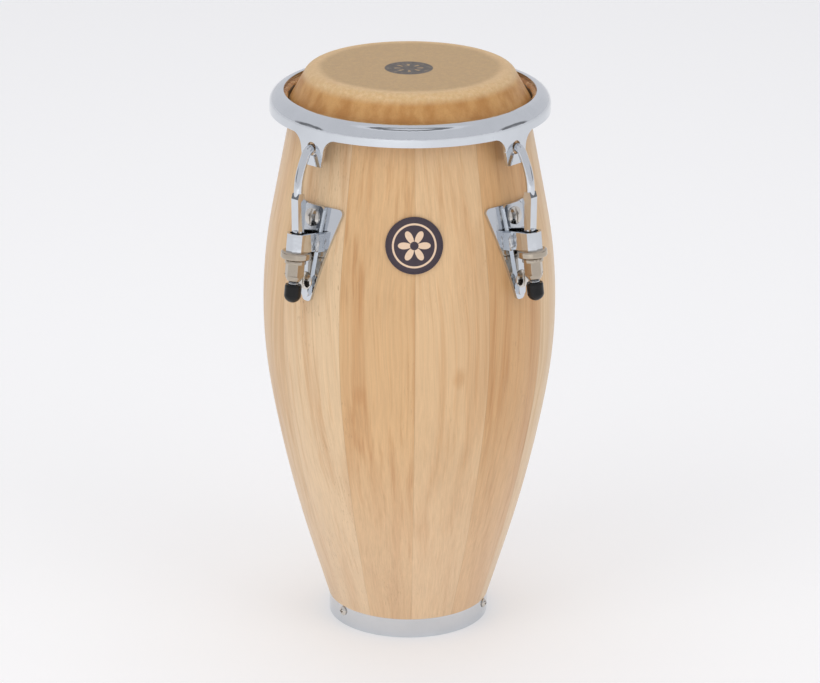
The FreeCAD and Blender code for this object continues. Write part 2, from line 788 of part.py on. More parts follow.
def tension_hook(name):
    """Hook, flat shank and threaded rod, forged as one."""
    points = hook_points()
    body = new_body(name + "_wire")
    path = new_sketch(body, name + "_path")
    draw(path, points, closed=False)
    section = new_sketch(body, name + "_section", "XY_Plane")
    draw_circle(section, S["rod_radius"])
    section.setExpression("AttachmentOffset.Base.x", text(points[0][0]))
    section.setExpression("AttachmentOffset.Base.z", text(points[0][1]))
    sweep = body.newObject("PartDesign::AdditivePipe", name + "_pipe")
    sweep.Profile = section
    sweep.Spine = (path, [])
    shank = new_body(name + "_shank")
    pad(shank, name + "_shank_pad", "XZ_Plane", [
        (-S["bar_foot_half"], S["bar_foot"]),
        (S["bar_foot_half"], S["bar_foot"]),
        (S["bar_outer"], S["bar_corner"]),
        (S["bar_top_outer"], S["bar_top"]),
        (S["bar_top_inner"], S["bar_top"]),
        (S["bar_inner"], S["bar_turn"]),
    ], S["bar_width"])
    shank.Placement = lug_frame()
    rod = doc.addObject("Part::Cylinder", name + "_rod")
    rod.setExpression("Radius", text(S["thread_radius"]))
    rod.setExpression("Height", text(S["thread_top"] - S["rod_foot"]))
    foot = FreeCAD.Vector(0, 0, number(S["rod_foot"]))
    rod.Placement = lug_frame() * FreeCAD.Placement(foot, FreeCAD.Rotation())
    return fuse(name, [body, shank, rod])


def draw_circle(sketch, radius):
    edge = sketch.addGeometry(Part.Circle(FreeCAD.Vector(), FreeCAD.Vector(0, 0, 1), number(radius)))
    sketch.addConstraint(Sketcher.Constraint("Coincident", edge, 3, -1, 1))
    index = sketch.addConstraint(Sketcher.Constraint("Radius", edge, number(radius)))
    sketch.setExpression(f"Constraints[{index}]", text(radius))


def along_rod(distance):
    """The lug's frame moved along the tension rod."""
    return lug_frame() * FreeCAD.Placement(FreeCAD.Vector(0, 0, number(distance)), FreeCAD.Rotation())


def lug_washer(name):
    """Thick round-edged washer under the strap."""
    radius, height, edge = S["washer_radius"], S["washer_height"], S["washer_round"]
    body = new_body(name + "_body")
    revolve(body, name + "_turn", [
        (S["washer_bore"], 0),
        (radius - edge, 0),
        (radius, edge, edge),
        (radius, height - edge),
        (radius - edge, height, edge),
        (S["washer_bore"], height),
    ])
    body.Placement = along_rod(S["strap_foot"] - height)
    return body


def hexagon(flats):
    corner = flats / math.sqrt(3.0)
    angles = [math.radians(60 * i) for i in range(6)]
    return [(corner * math.cos(a) if abs(math.cos(a)) > 1e-9 else 0,
             corner * math.sin(a) if abs(math.sin(a)) > 1e-9 else 0) for a in angles]


def tuning_nut(name):
    """Hexagonal nut with a collar above and a tapered foot."""
    height, wide = S["nut_height"], S["nut_flats"] / math.sqrt(3.0)
    under_seat = height - S["nut_seat_height"]
    under_collar = under_seat - S["nut_collar_height"]
    body = new_body(name + "_body")
    revolve(body, name + "_turn", [
        (S["nut_bore"], 0), (S["nut_foot"], 0), (wide, S["nut_cone"]), (wide, under_collar),
        (S["nut_collar"], under_collar), (S["nut_collar"], under_seat),
        (S["nut_seat"], under_seat), (S["nut_seat"], height), (S["nut_bore"], height)])
    doc.recompute()
    before = body.Shape.Volume
    sketch = new_sketch(body, name + "_flats", "XY_Plane")
    draw(sketch, hexagon(S["nut_flats"]))
    draw_circle(sketch, S["nut_flats"])
    flats = body.newObject("PartDesign::Pocket", name + "_hexagon")
    flats.Profile = sketch
    flats.Reversed = True
    flats.setExpression("Length", text(under_collar))
    doc.recompute()
    if body.Shape.Volume > before - 1:
        raise RuntimeError(f"{name}: the flats cut nothing")
    body.Placement = along_rod(S["strap_foot"] - S["washer_height"] - height)
    return body


def rod_cap(name):
    """Rubber cap on the end of the threaded rod."""
    foot, top, radius = S["cap_foot"], S["cap_top"], S["cap_radius"]
    dome = radius * 0.8
    ball = (radius * radius + dome * dome) / (dome * 2)
    body = new_body(name + "_body")
    revolve(body, name + "_turn", [
        (0, foot),
        (radius, foot + dome, ball),
        (radius, top - 1),
        (S["cap_mouth"], top),
        (S["thread_radius"], top),
        (S["thread_radius"], S["rod_foot"]),
        (0, S["rod_foot"]),
    ])
    body.Placement = lug_frame()
    return body


def plate_screw(name, height, azimuth):
    """Screw through plate and shell, with its flat washer and nut inside the shell."""
    rise = S["plate_sheet"] + S["land_rise"]
    inside = S["stave_wall"] + S["inner_gap"]
    grip = rise + inside + S["flat_washer_height"] + S["inner_nut_height"] + S["screw_beyond"]
    frame = turned(azimuth) * on_shell(height, rise.value)
    head, tall = S["plate_screw_head"], S["plate_screw_head_height"]
    solid = screw(name + "_solid", grip, S["plate_screw"], head, tall, Size(0.0, "0"), frame)
    bolt = cut(name, solid, blade(name + "_slot", head * 0.26, head * 2.2, tall, frame))
    inner_face = turned(azimuth) * on_shell(height, -inside.value)
    washer = new_body(name + "_washer")
    revolve_along_x(washer, name + "_washer_turn", [
        (-S["flat_washer_height"], S["plate_screw"]), (0, S["plate_screw"]),
        (0, S["flat_washer"]), (-S["flat_washer_height"], S["flat_washer"])])
    washer.Placement = inner_face
    nut = new_body(name + "_nut")
    block = pad(nut, name + "_nut_pad", "YZ_Plane", hexagon(S["inner_nut_flats"]),
                S["inner_nut_height"])
    draw_circle(block.Profile[0], S["plate_screw"])
    step = -number(S["flat_washer_height"]) - number(S["inner_nut_height"]) / 2.0
    nut.Placement = inner_face * FreeCAD.Placement(FreeCAD.Vector(step, 0, 0), FreeCAD.Rotation())
    return bolt, washer, nut


def lugs():
    """The four lugs, each turned to its own azimuth, and the fasteners they share."""
    core = shell_core()
    fasteners = []
    for count, azimuth in enumerate(LUG_AZIMUTHS, start=1):
        plate = side_plate(f"side_plate_{count}_piece")
        holder = strap(f"rod_strap_{count}_piece", plate, core)
        pieces = {
            f"side_plate_{count}": plate,
            f"rod_strap_{count}": holder,
            f"tension_hook_{count}": tension_hook(f"tension_hook_{count}_piece"),
            f"lug_washer_{count}": lug_washer(f"lug_washer_{count}"),
            f"tuning_nut_{count}": tuning_nut(f"tuning_nut_{count}"),
            f"rod_cap_{count}": rod_cap(f"rod_cap_{count}"),
        }
        for label, piece in pieces.items():
            turn_piece(piece, label, azimuth)
        for level in ("upper", "lower"):
            height = S[f"{level}_screw_height"]
            fasteners.append(plate_screw(f"{level}_plate_screw_{count}", height, azimuth))
    bolts, washers, nuts = zip(*fasteners)
    group("side_plate_screws", list(bolts))
    group("side_plate_washers", list(washers))
    group("side_plate_nuts", list(nuts))


def turn_piece(piece, label, azimuth):
    """Carry a finished lug piece round to its azimuth in a wrapper of its own."""
    wrapper = doc.addObject("Part::Compound", label)
    wrapper.Links = [piece]
    wrapper.Placement = turned(azimuth)
    keep(wrapper, label)


# ---- badge ----------------------------------------------------------------------------------

def front_badge():
    """Thin round badge that follows the shell, with a raised border."""
    frame = on_shell(S["badge_height"], 0.0)
    radius = S["badge_radius"]
    depth = S["badge_radius"]
    disc = common("badge_disc", shell_layer("badge_disc_layer", S["badge_sheet"]),
                  bar("badge_round", radius, depth, frame))
    ring = cut("badge_border_bar", bar("badge_outer_bar", radius, depth, frame),
               bar("badge_inner_bar", radius - S["badge_border"], depth * 2, frame))
    rise = S["badge_sheet"] + S["badge_border_rise"]
    border = common("badge_border", shell_layer("badge_border_layer", rise), ring)
    badge = fuse("badge_whole", [disc, border])
    badge.Placement = turned(BADGE_AZIMUTH)
    keep(badge, "front_badge")


# ---- the whole drum -------------------------------------------------------------------------

def check_document():
    """Stop if any object failed or any sub-part isn't made of valid solids."""
    doc.recompute()
    for item in doc.Objects:
        if "Invalid" in item.State or "Error" in item.State:
            raise RuntimeError(f"{item.Name} ({item.Label}) failed: {item.State}")
    for piece in NODES:
        shape = piece.Shape
        if shape.isNull() or not shape.isValid() or not shape.Solids:
            raise RuntimeError(f"{piece.Label} has no valid solid")


def write_parts():
    os.makedirs("parts", exist_ok=True)
    for piece in NODES:
        shape = piece.Shape
        print(f"{piece.Label:20s} {len(shape.Solids)} solids {shape.Volume:10.1f} mm3")
        shape.exportStep(f"parts/{piece.Label}.step")


for stave_index in range(1, STAVES + 1):
    stave(stave_index)
foot_ring()
head_skin()
flesh_hoop()
rim()
lugs()
front_badge()
check_document()
write_parts()
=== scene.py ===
"""Looks for a small wooden conga: twelve staves, a rawhide head and chrome hardware.

Metres, +Z up. Azimuth 0 faces -Y and positive azimuths turn towards +X, as in the CAD frame.
"""
import json
import math

import bmesh
import bpy
from mathutils import Matrix, Vector


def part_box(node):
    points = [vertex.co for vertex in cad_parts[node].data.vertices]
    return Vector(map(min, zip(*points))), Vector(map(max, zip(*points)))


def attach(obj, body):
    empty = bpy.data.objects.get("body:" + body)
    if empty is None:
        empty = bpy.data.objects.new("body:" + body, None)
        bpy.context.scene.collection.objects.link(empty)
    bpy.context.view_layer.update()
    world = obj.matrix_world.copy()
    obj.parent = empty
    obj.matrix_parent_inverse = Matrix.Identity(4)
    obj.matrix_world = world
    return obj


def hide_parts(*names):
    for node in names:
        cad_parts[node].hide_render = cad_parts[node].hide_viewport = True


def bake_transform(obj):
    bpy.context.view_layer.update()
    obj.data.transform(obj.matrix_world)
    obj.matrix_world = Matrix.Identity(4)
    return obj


MM = 0.001
STAVES = 12
LUGS = (1, 2, 3, 4)

# The camera looks slightly down at the drum from a little left of its front.
CAMERA_AZIMUTH = -2.3
CAMERA_PITCH = 19.757
CAMERA_ROLL = 0.236
CAMERA_DISTANCE = 1.7931
CAMERA_TARGET = Vector((0.0004, 0.0, 0.14076))
CAMERA_LENS = 160.84

WORLD_STRENGTH = 0.85
TENT_BLUE = 1.02
FLOOR_RADIUS = 7.0
FLOOR_SIDES = 64
FLOOR_GREY = 0.80
FLOOR_GLOW = 0.19
# Greys of the light tent: by how far a direction points up, and by how far it points sideways.
HIGH_TENT = ((0.0, 0.84), (0.90, 0.84), (0.925, 1.0), (0.948, 1.0),
             (0.960, 0.28), (0.982, 0.28), (0.992, 0.90))
SIDE_TENT = ((0.0, 1.0), (0.955, 1.0), (0.975, 0.30), (0.995, 0.30), (1.0, 0.6))
# Each light's azimuth from the camera, height, distance, width, face height, power and aim height.
LIGHTS = {
    "key_light": (-48.0, 1.25, 1.3, 0.9, 1.2, 4.1, 0.14),
    "fill_light": (52.0, 1.05, 1.4, 0.9, 1.2, 3.2, 0.14),
    "top_light": (180.0, 1.7, 0.5, 1.2, 0.9, 3.4, 0.14),
    "low_light": (-12.0, 0.30, 1.5, 0.9, 0.4, 2.4, 0.04),
}

# The head, as the CAD has it.
HEAD_HEIGHT = 280.0 * MM
HEAD_FLAT = 45.8 * MM
HEAD_ROUND = 5.6 * MM
COLLAR_LEAN = 29.4
HIDE = 0.8 * MM
HOOP_WIRE = 2.6 * MM
HOOP_HEIGHT = 264.17 * MM
TUCK_END = 510.0  # the hide goes under the hoop, up its outer side and back over its top
HEAD_SEGMENTS = 240
WOOD_CORNER = 0.675  # share of the collar that lies on the staves' bevelled tops
SHARP_ANGLE = 50.0

# The gathered folds of the tuck: how many of each wave there are round the head, and its phase.
PUCKER_WAVES = ((37, 1.3), (61, 4.0), (17, 0.0))
PUCKER_REACH = 12.0  # degrees round the wire by which the tuck's end wanders
FOLD_DEPTH = 0.5 * HIDE

# Where the hide's colours change, each as the start and end of a soft step.
PLAYING_EDGE = (40.5 * MM, 45.5 * MM)
COLLAR_TOP = (274.5 * MM, 278.3 * MM)
TUCK_START = (57 * MM, 59.5 * MM)

# The stamp: its middle's offset from the head's, and the soft edges of its disc and spokes.
STAMP_LEFT = 0.8 * MM
STAMP_FORWARD = 2.4 * MM
STAMP_EDGE = (11.2 * MM, 11.9 * MM)
STAMP_SPOKES = 8.0
SPOKES_INNER = (3.6 * MM, 4.2 * MM)
SPOKES_OUTER = (6.6 * MM, 7.2 * MM)

# The badge's motif.
PETAL_REACH = 7.6 * MM
PETAL_PAIRS = 3.0
PETAL_EDGE = 0.15 * MM
EYE_EDGE = (1.9 * MM, 2.1 * MM)
RING_INNER = (9.4 * MM, 9.6 * MM)
RING_OUTER = (10.3 * MM, 10.5 * MM)

# Weld beads, from the middle of the nut's turning joint, and their half sizes.
WELD_INWARD = 7.2 * MM
WELD_ASIDE = 6.1 * MM
WELD_ABOVE = 10.6 * MM
WELD_THICK = 1.1 * MM
WELD_WIDE = 1.2 * MM
WELD_TALL = 3.9 * MM

# A point on the rods' axes and their lean. The thread is measured along them from that point.
ROD_RADIUS_AT = 79.0 * MM
ROD_HEIGHT_AT = 200.0 * MM
ROD_TILT = math.radians(7.5)
THREAD_TOP = 13.0 * MM
THREAD_PITCH = 0.8 * MM
THREAD_FADE = 1 * MM

GRAIN_RADIUS = 62 * MM  # turns an azimuth into a distance across the grain
SEAM_SHARE = 0.006  # half a glue line, as a share of a stave's width

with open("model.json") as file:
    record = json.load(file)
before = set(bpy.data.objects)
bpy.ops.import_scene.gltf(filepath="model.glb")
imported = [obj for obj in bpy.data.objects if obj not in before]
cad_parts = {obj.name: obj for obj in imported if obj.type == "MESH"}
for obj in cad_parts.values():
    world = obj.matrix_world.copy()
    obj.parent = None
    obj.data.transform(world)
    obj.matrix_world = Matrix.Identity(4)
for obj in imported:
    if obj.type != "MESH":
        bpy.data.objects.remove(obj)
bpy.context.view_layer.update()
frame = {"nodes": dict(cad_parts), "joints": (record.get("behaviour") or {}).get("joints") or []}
badge_low, badge_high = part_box("front_badge")
BADGE_MIDDLE = (Vector(badge_low) + Vector(badge_high)) / 2
BADGE_AZIMUTH = math.atan2(BADGE_MIDDLE.x, -BADGE_MIDDLE.y)
BADGE_CURVE = math.hypot(BADGE_MIDDLE.x, BADGE_MIDDLE.y)
JOINTS = {joint["name"]: joint for joint in frame["joints"]}


# ---- colours --------------------------------------------------------------------------------

def srgb(red, green, blue):
    """A display colour, 0 to 255, as linear RGBA."""
    def linear(value):
        value /= 255.0
        return value / 12.92 if value <= 0.04045 else ((value + 0.055) / 1.055) ** 2.4
    return linear(red), linear(green), linear(blue), 1.0


# ---- shader building ------------------------------------------------------------------------

class Shader:
    """One material. Each call adds a node and returns its output socket."""

    def __init__(self, name):
        self.material = bpy.data.materials.new(name)
        self.material.use_nodes = True
        self.tree = self.material.node_tree
        self.tree.nodes.clear()
        self.surface = self.node("ShaderNodeBsdfPrincipled")
        output = self.node("ShaderNodeOutputMaterial")
        self.tree.links.new(self.surface.outputs["BSDF"], output.inputs["Surface"])

    def node(self, kind, **settings):
        made = self.tree.nodes.new(kind)
        for name, value in settings.items():
            setattr(made, name, value)
        return made

    def feed(self, socket, value):
        if isinstance(value, bpy.types.NodeSocket):
            self.tree.links.new(value, socket)
        else:
            socket.default_value = value

    def set(self, **inputs):
        """Feed the surface's inputs: Base_Color stands for "Base Color"."""
        for name, value in inputs.items():
            self.feed(self.surface.inputs[name.replace("_", " ")], value)

    def math(self, operation, first, second=0.0, third=0.0, clamp=False):
        made = self.node("ShaderNodeMath", operation=operation, use_clamp=clamp)
        for socket, value in zip(made.inputs, (first, second, third)):
            self.feed(socket, value)
        return made.outputs[0]

    def place(self):
        """Where the point is, in the drum's own frame."""
        return self.node("ShaderNodeTexCoord").outputs["Object"]

    def length(self, across, up):
        """Distance of a flat point from its origin."""
        squares = self.math("MULTIPLY", across, across), self.math("MULTIPLY", up, up)
        return self.math("SQRT", self.math("ADD", *squares))

    def split(self, vector):
        made = self.node("ShaderNodeSeparateXYZ")
        self.feed(made.inputs[0], vector)
        return made.outputs

    def join(self, x, y, z):
        made = self.node("ShaderNodeCombineXYZ")
        for socket, value in zip(made.inputs, (x, y, z)):
            self.feed(socket, value)
        return made.outputs[0]

    def stretch(self, vector, scale, shift=(0.0, 0.0, 0.0)):
        made = self.node("ShaderNodeMapping")
        self.feed(made.inputs["Vector"], vector)
        made.inputs["Scale"].default_value = scale
        made.inputs["Location"].default_value = shift
        return made.outputs[0]

    def noise(self, vector, scale=1.0, detail=3.0, roughness=0.55, distortion=0.0):
        made = self.node("ShaderNodeTexNoise")
        self.feed(made.inputs["Vector"], vector)
        made.inputs["Scale"].default_value = scale
        made.inputs["Detail"].default_value = detail
        made.inputs["Roughness"].default_value = roughness
        made.inputs["Distortion"].default_value = distortion
        return made.outputs["Fac"]

    def smooth(self, value, low, high, out_low=0.0, out_high=1.0):
        made = self.node("ShaderNodeMapRange", interpolation_type="SMOOTHSTEP")
        for socket, item in zip(made.inputs, (value, low, high, out_low, out_high)):
            self.feed(socket, item)
        return made.outputs[0]

    def mix(self, share, first, second, blend="MIX"):
        made = self.node("ShaderNodeMix", data_type="RGBA", blend_type=blend)
        self.feed(made.inputs["Factor"], share)
        self.feed(made.inputs[6], first)
        self.feed(made.inputs[7], second)
        return made.outputs[2]

    def shade(self, colour, amount):
        """Colour times a number socket."""
        made = self.node("ShaderNodeVectorMath", operation="SCALE")
        plain = not isinstance(colour, bpy.types.NodeSocket)
        self.feed(made.inputs[0], colour[:3] if plain else colour)
        self.feed(made.inputs["Scale"], amount)
        return made.outputs[0]

    def bump(self, height, distance, strength=1.0, under=None):
        made = self.node("ShaderNodeBump")
        self.feed(made.inputs["Height"], height)
        made.inputs["Distance"].default_value = distance
        made.inputs["Strength"].default_value = strength
        if under is not None:
            self.feed(made.inputs["Normal"], under)
        return made.outputs[0]


# ---- wood -----------------------------------------------------------------------------------

STREAK = srgb(186, 134, 82)
# The next tone is painted light: the lower wood is mixed towards it in place of light from below.
PAINTED_LOW_LIGHT = srgb(226, 198, 166)
PORE = srgb(140, 98, 62)

# A stave's tone, how streaky it is, how many pores it shows, and its lean of grain.
STAVE_LOOKS = {
    1: (srgb(216, 180, 136), 0.55, 0.30, 0.02),
    2: (srgb(206, 162, 112), 0.95, 0.35, -0.02),
    3: (srgb(216, 184, 140), 0.45, 0.35, 0.01),
    4: (srgb(207, 166, 118), 0.65, 0.30, 0.03),
    5: (srgb(217, 182, 138), 0.50, 0.30, -0.03),
    6: (srgb(203, 160, 110), 0.90, 0.25, 0.0),
    7: (srgb(214, 178, 131), 0.55, 0.35, 0.02),
    8: (srgb(219, 187, 144), 0.40, 0.30, -0.01),
    9: (srgb(205, 163, 114), 0.80, 0.30, 0.02),
    10: (srgb(214, 179, 134), 0.55, 0.30, -0.02),
    11: (srgb(221, 190, 150), 0.60, 0.80, 0.06),
    12: (srgb(212, 172, 124), 0.85, 0.40, 0.0),
}
# Small knots: stave, height and azimuth.
KNOTS = {12: (137 * MM, -22.0), 1: (146 * MM, 17.5), 4: (96 * MM, 101.0), 7: (171 * MM, -170.0)}


def wood(index):
    """Lacquered pale hardwood whose grain runs up the stave, with painted light making it paler towards the
    bottom.
    """
    tone, streaky, porous, lean = STAVE_LOOKS[index]
    s = Shader(f"stave_wood_{index:02d}")
    x, y, z = s.split(s.place())
    angle = s.math("ARCTAN2", x, s.math("MULTIPLY", y, -1.0))
    around = s.math("MULTIPLY", angle, GRAIN_RADIUS)
    depth = s.length(x, y)
    leaned = s.math("ADD", around, s.math("MULTIPLY", z, lean))
    plank = s.join(leaned, depth, z)
    shift = (index * 3.71, index * 1.37, index * 2.13)

    wander = s.noise(s.stretch(plank, (30, 20, 9), shift), detail=2.0)
    bent = s.math("ADD", leaned, s.math("MULTIPLY", s.math("SUBTRACT", wander, 0.5), 9 * MM))
    fibre = s.join(bent, depth, z)
    bands = s.noise(s.stretch(fibre, (110, 60, 4), shift), detail=3.0, roughness=0.5)
    streaks = s.noise(s.stretch(fibre, (420, 150, 9), shift), detail=3.0, roughness=0.6)
    fine = s.noise(s.stretch(plank, (2300, 800, 55), shift), detail=2.0)
    cloud = s.noise(s.stretch(plank, (22, 22, 14), shift), detail=2.0)
    lines = s.noise(s.stretch(fibre, (1350, 420, 16), shift), detail=3.0, roughness=0.65)
    dash = s.noise(s.stretch(plank, (2600, 900, 260), shift), detail=1.0)
    patch = s.noise(s.stretch(plank, (60, 40, 16), shift), detail=2.0)
    ray = s.noise(s.stretch(plank, (900, 500, 500), shift), detail=2.0, distortion=0.4)

    dark_band = s.smooth(bands, 0.46, 0.68)
    dark_line = s.smooth(streaks, 0.50, 0.66)
    streak = s.math("MULTIPLY", s.math("ADD", s.math("MULTIPLY", dark_band, 0.55),
                                       s.math("MULTIPLY", dark_line, 0.45)), streaky)
    colour = s.mix(streak, tone, STREAK)
    # Painted light: the wood turns paler towards the bottom, as if more light fell there.
    colour = s.mix(s.smooth(z, 25 * MM, 135 * MM, 0.45, 0.0), colour, PAINTED_LOW_LIGHT)
    pores = s.math("MULTIPLY", s.smooth(dash, 0.62, 0.74), s.smooth(patch, 0.60 - 0.3 * porous, 0.72))
    colour = s.mix(s.math("MULTIPLY", pores, 0.55 * min(1.0, porous + 0.3)), colour, PORE)
    if index in KNOTS:
        colour = s.mix(knot_mask(s, around, z, index), colour, STREAK)
    light = s.math("ADD", 0.90, s.math("MULTIPLY", fine, 0.16))
    light = s.math("ADD", light, s.math("MULTIPLY", s.math("SUBTRACT", cloud, 0.5), 0.16))
    light = s.math("ADD", light, s.math("MULTIPLY", ray, 0.05))
    light = s.math("ADD", light, s.math("MULTIPLY", s.math("SUBTRACT", lines, 0.5), 0.34))
    seam = seam_mask(s, angle)
    light = s.math("MULTIPLY", light, s.math("SUBTRACT", 1.0, s.math("MULTIPLY", seam, 0.22)))
    colour = s.shade(colour, light)

    relief = s.math("SUBTRACT", s.math("MULTIPLY", fine, 0.5), s.math("MULTIPLY", pores, 1.0))
    relief = s.math("SUBTRACT", relief, s.math("MULTIPLY", seam, 1.5))
    s.set(Base_Color=colour, Roughness=s.smooth(streaks, 0.2, 0.8, 0.36, 0.50),
          Normal=s.bump(relief, 0.03 * MM, 0.6), Coat_Weight=0.25, Coat_Roughness=0.22,
          Specular_IOR_Level=0.45)
    return s.material


def seam_mask(s, angle):
    """1 along the glue lines between staves."""
    share = s.math("DIVIDE", angle, 2 * math.pi / STAVES)
    nearest = s.math("ABSOLUTE", s.math("SUBTRACT", share, s.math("ROUND", share)))
    return s.smooth(nearest, 0.0, SEAM_SHARE, 1.0, 0.0)


def knot_mask(s, around, z, index):
    """A soft darker oval whose edge wanders with noise."""
    height, azimuth = KNOTS[index]
    across = s.math("SUBTRACT", around, math.radians(azimuth) * GRAIN_RADIUS)
    up = s.math("MULTIPLY", s.math("SUBTRACT", z, height), 0.55)
    reach = s.length(across, up)
    swirl = s.noise(s.stretch(s.join(across, up, 0.0), (500, 500, 500)), detail=2.0)
    reach = s.math("ADD", reach, s.math("MULTIPLY", s.math("SUBTRACT", swirl, 0.5), 2 * MM))
    return s.smooth(reach, 0.8 * MM, 4.0 * MM, 0.45, 0.0)


# ---- metals, rubber, hide -------------------------------------------------------------------

def plated(name, colour, roughness, ripple=0.35, wear=0.05):
    """Polished plating: faint orange peel, hairline scratches and soft smudges."""
    s = Shader(name)
    place = s.place()
    peel = s.noise(s.stretch(place, (260, 260, 260)), detail=2.0)
    hair = s.noise(s.stretch(place, (4200, 4200, 260)), detail=2.0)
    smudge = s.noise(s.stretch(place, (75, 75, 75)), detail=3.0)
    rough = s.smooth(smudge, 0.35, 0.75, roughness, roughness + wear)
    rough = s.math("ADD", rough, s.math("MULTIPLY", s.smooth(hair, 0.6, 0.8), wear * 0.6))
    first = s.bump(peel, 0.06 * MM, ripple)
    tint = s.shade(colour, s.smooth(smudge, 0.2, 0.8, 1.0, 0.94))
    s.set(Base_Color=tint, Metallic=1.0, Roughness=rough,
          Normal=s.bump(hair, 0.01 * MM, 0.15, first))
    return s.material


def rubber():
    """Soft black rubber with a little dust."""
    s = Shader("black_rubber")
    place = s.place()
    grain = s.noise(s.stretch(place, (1800, 1800, 1800)), detail=3.0)
    dust = s.noise(s.stretch(place, (190, 190, 190)), detail=4.0)
    colour = s.mix(s.smooth(dust, 0.5, 0.9), srgb(7, 7, 8), srgb(24, 24, 24))
    s.set(Base_Color=colour, Roughness=s.smooth(dust, 0.3, 0.8, 0.28, 0.5), Specular_IOR_Level=0.35,
          Normal=s.bump(grain, 0.04 * MM, 0.4))
    return s.material


def rawhide():
    """Dry rawhide: khaki playing area, paler worn edge, warmer streaked collar, a grey stamp."""
    s = Shader("rawhide")
    place = s.place()
    x, y, z = s.split(place)
    radius = s.length(x, y)
    angle = s.math("ARCTAN2", x, s.math("MULTIPLY", y, -1.0))
    mottle = s.noise(s.stretch(place, (520, 520, 520)), detail=4.0, roughness=0.65)
    cloud = s.noise(s.stretch(place, (38, 38, 38)), detail=3.0)
    streak = s.noise(s.join(s.math("MULTIPLY", angle, 5.5), 0.0, s.math("MULTIPLY", z, 70.0)), detail=4.0)
    fleck = s.noise(s.stretch(place, (1500, 1500, 1500)), detail=2.0)

    wander = s.math("MULTIPLY", s.math("SUBTRACT", cloud, 0.5), 5 * MM)
    reach = s.math("ADD", radius, wander)
    playing = s.mix(s.smooth(mottle, 0.32, 0.72), srgb(182, 149, 104), srgb(197, 166, 121))
    edge = s.mix(s.smooth(mottle, 0.35, 0.7), srgb(212, 176, 126), srgb(222, 190, 145))
    collar = s.mix(s.smooth(streak, 0.36, 0.64), srgb(184, 131, 71), srgb(206, 158, 98))
    colour = s.mix(s.smooth(reach, *PLAYING_EDGE), playing, edge)
    below = s.smooth(z, *COLLAR_TOP, 1.0, 0.0)
    colour = s.mix(below, colour, collar)
    tucked = s.smooth(radius, *TUCK_START)
    hide_folds = s.mix(s.smooth(mottle, 0.4, 0.7), srgb(178, 122, 66), srgb(228, 190, 138))
    colour = s.mix(tucked, colour, hide_folds)
    colour = s.mix(stamp_mask(s, x, y, mottle), colour, srgb(80, 77, 76))
    light = s.math("ADD", 0.94, s.math("MULTIPLY", s.math("SUBTRACT", fleck, 0.5), 0.22))
    crease = s.noise(s.join(s.math("MULTIPLY", angle, 34.0), 0.0, s.math("MULTIPLY", z, 300.0)), detail=3.0)
    relief = s.math("ADD", mottle, s.math("MULTIPLY", fleck, 0.4))
    relief = s.math("ADD", relief, s.math("MULTIPLY", s.math("MULTIPLY", crease, tucked), 12.0))
    s.set(Base_Color=s.shade(colour, light), Roughness=s.smooth(mottle, 0.3, 0.8, 0.42, 0.60),
          Normal=s.bump(relief, 0.06 * MM, 0.5), Subsurface_Weight=0.06,
          Subsurface_Radius=(2 * MM, 1 * MM, 0.5 * MM), Specular_IOR_Level=0.4)
    return s.material


def stamp_mask(s, x, y, mottle):
    """A worn ink disc at the middle of the head, with a ring of small spokes left bare."""
    across = s.math("ADD", x, STAMP_LEFT)
    deep = s.math("ADD", y, STAMP_FORWARD)
    reach = s.length(across, deep)
    spokes = s.math("COSINE", s.math("MULTIPLY", s.math("ARCTAN2", deep, across), STAMP_SPOKES))
    disc = s.smooth(reach, *STAMP_EDGE, 1.0, 0.0)
    ring = s.math("MULTIPLY", s.smooth(reach, *SPOKES_INNER),
                  s.smooth(reach, *SPOKES_OUTER, 1.0, 0.0))
    bare = s.math("MULTIPLY", ring, s.smooth(spokes, 0.45, 0.8))
    ink = s.math("MULTIPLY", disc, s.math("SUBTRACT", 1.0, s.math("MULTIPLY", bare, 0.7)))
    return s.math("MULTIPLY", ink, s.smooth(mottle, 0.25, 0.50, 0.62, 0.95))


def badge():
    """Dark plum enamel with a tan rosette inside a thin ring."""
    s = Shader("badge")
    place = s.place()
    x, y, z = s.split(place)
    angle = s.math("SUBTRACT", s.math("ARCTAN2", x, s.math("MULTIPLY", y, -1.0)), BADGE_AZIMUTH)
    across = s.math("MULTIPLY", angle, BADGE_CURVE)
    up = s.math("SUBTRACT", z, BADGE_MIDDLE.z)
    reach = s.length(across, up)
    turns = s.math("MULTIPLY", s.math("ARCTAN2", up, across), PETAL_PAIRS)
    petals = s.math("ABSOLUTE", s.math("COSINE", turns))
    tip = s.math("MULTIPLY", s.math("POWER", petals, 0.75), PETAL_REACH)
    rosette = s.smooth(s.math("SUBTRACT", reach, tip), -PETAL_EDGE, PETAL_EDGE, 1.0, 0.0)
    hole = s.smooth(reach, *EYE_EDGE)
    ring = s.math("MULTIPLY", s.smooth(reach, *RING_INNER), s.smooth(reach, *RING_OUTER, 1.0, 0.0))
    motif = s.math("MAXIMUM", s.math("MULTIPLY", rosette, hole), ring)
    grain = s.noise(s.stretch(place, (900, 900, 900)), detail=3.0)
    ground = s.mix(grain, srgb(52, 40, 50), srgb(66, 54, 62))
    tan = s.mix(grain, srgb(222, 190, 160), srgb(234, 206, 178))
    s.set(Base_Color=s.mix(motif, ground, tan), Roughness=s.smooth(grain, 0.3, 0.7, 0.30, 0.42),
          Normal=s.bump(s.math("ADD", motif, s.math("MULTIPLY", grain, 0.1)), 0.05 * MM, 0.5))
    return s.material


